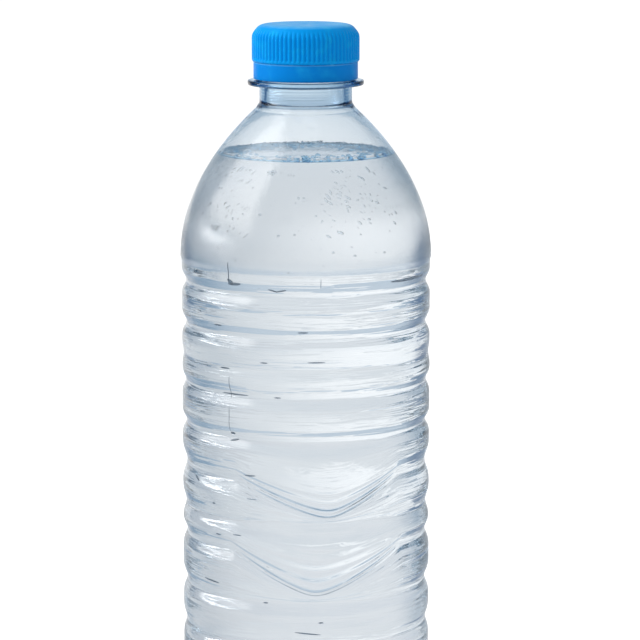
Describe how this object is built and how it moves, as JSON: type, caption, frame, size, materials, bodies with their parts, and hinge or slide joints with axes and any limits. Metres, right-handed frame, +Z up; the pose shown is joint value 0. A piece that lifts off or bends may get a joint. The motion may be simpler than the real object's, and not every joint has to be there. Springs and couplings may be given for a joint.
{
  "type": "plastic water bottle",
  "caption": "Clear ribbed drinking-water bottle, full, with a folded front, a support ring, a loose tamper band and a knurled screw cap.",
  "frame": {"origin": "centre of the standing ring, on the surface that the bottle stands on", "axes": "+Z up along the bottle's axis, -Y towards the front with the two folds, +X to the right seen from the front"},
  "size_m": [0.0716, 0.0716, 0.2455],
  "materials": {
    "clear_plastic": "clear, glossy, faintly blue",
    "water": "clear still water",
    "blue_plastic": "satin, moulded, finely knurled"
  },
  "bodies": {
    "bottle": {"bottle": "clear_plastic", "water": "water"},
    "tamper_band": {"tamper_band": "blue_plastic"},
    "cap": {"cap": "blue_plastic"}
  },
  "joints": [
    {"name": "cap_turn", "type": "hinge", "parent": "bottle", "child": "tamper_band", "pos_m": [0, 0, 0.2324], "axis": [0, 0, 1], "range_deg": [0, 2160]},
    {"name": "cap_lift", "type": "slide", "parent": "tamper_band", "child": "cap", "axis": [0, 0, 1], "range_m": [0, 0.0162]}
  ],
  "couplings": [
    {"joint": "cap_lift", "follows": "cap_turn", "m_per_rad": 0.00042972}
  ]
}
